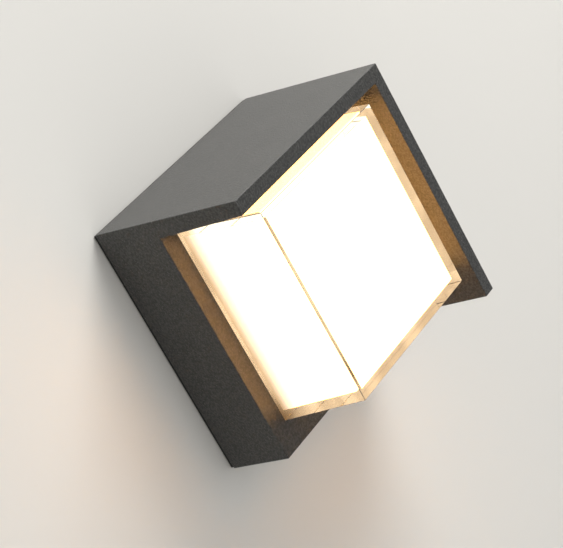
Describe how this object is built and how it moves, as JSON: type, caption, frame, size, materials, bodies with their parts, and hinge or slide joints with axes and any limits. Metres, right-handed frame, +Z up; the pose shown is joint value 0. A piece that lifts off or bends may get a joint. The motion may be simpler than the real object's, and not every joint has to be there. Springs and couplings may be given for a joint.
{
  "type": "outdoor wall lantern",
  "caption": "Square cast wall light hung on its corner: two hood plates make a gable over a thick lit block shade on a shallow back box.",
  "frame": {"origin": "centre of the wall plate's back face, midway between the two wall screws", "axes": "+Y into the wall, -Y out to the front of the light, +Z up through the apex of the hood, +X to the right seen from the front"},
  "size_m": [0.2122, 0.099, 0.2122],
  "materials": {
    "powder_coat": "fine-textured matt dark grey powder coat on die-cast aluminium",
    "clear_acrylic": "thick clear acrylic, polished",
    "milky_acrylic": "milky diffuser, lit from inside",
    "galvanised_steel": "galvanised sheet steel",
    "stainless": "stainless steel",
    "black_rubber": "matt moulded rubber",
    "foam_rubber": "closed-cell foam rubber",
    "silicone": "translucent silicone",
    "board_white": "white solder mask on an aluminium board",
    "board_green": "green circuit board",
    "chip_phosphor": "yellow phosphor under clear resin",
    "heat_pad": "soft grey heat-conducting pad",
    "white_plastic": "moulded white plastic",
    "yellow_tape": "yellow winding tape",
    "dark_sleeve": "dark shrink sleeve",
    "brass": "bright brass",
    "brown_lead": "brown insulation",
    "blue_lead": "blue insulation",
    "green_lead": "green insulation with a yellow stripe",
    "red_lead": "red insulation",
    "black_lead": "black insulation"
  },
  "bodies": {
    "wall_bracket": {"wall_plate": "galvanised_steel", "cable_grommet": "black_rubber"},
    "lamp": {"housing": "powder_coat", "rim_gasket": "foam_rubber", "outer_shade": "clear_acrylic", "inner_diffuser": "milky_acrylic", "shade_gasket": "silicone", "shade_screws": "stainless", "shade_screw_washers": "black_rubber", "led_board": "board_white", "led_chips": "chip_phosphor", "thermal_pad": "heat_pad", "board_screws": "stainless", "driver_case": "white_plastic", "driver_cover": "white_plastic", "driver_board": "board_green", "driver_transformer": "yellow_tape", "driver_capacitors": "dark_sleeve", "driver_screws": "stainless", "terminal_block": "white_plastic", "terminal_clamps": "brass", "terminal_screws": "stainless", "terminal_block_screws": "stainless", "cord_clamp": "white_plastic", "cord_clamp_screws": "stainless", "earth_lug": "brass", "earth_screw": "brass", "live_lead": "brown_lead", "neutral_lead": "blue_lead", "earth_lead": "green_lead", "led_lead_positive": "red_lead", "led_lead_negative": "black_lead", "lead_grommet": "black_rubber"},
    "lock_screw_1": {"lock_screw_1": "stainless", "lock_seal_1": "black_rubber"},
    "lock_screw_2": {"lock_screw_2": "stainless", "lock_seal_2": "black_rubber"}
  },
  "joints": [
    {"name": "lamp_pull_off", "type": "slide", "parent": "wall_bracket", "child": "lamp", "axis": [0, -1, 0], "range_m": [0, 0.06]},
    {"name": "lock_screw_1_back_out", "type": "slide", "parent": "lamp", "child": "lock_screw_1", "axis": [0.7071, 0, -0.7071], "range_m": [0, 0.0042]},
    {"name": "lock_screw_2_back_out", "type": "slide", "parent": "lamp", "child": "lock_screw_2", "axis": [0.7071, 0, -0.7071], "range_m": [0, 0.0042]}
  ]
}
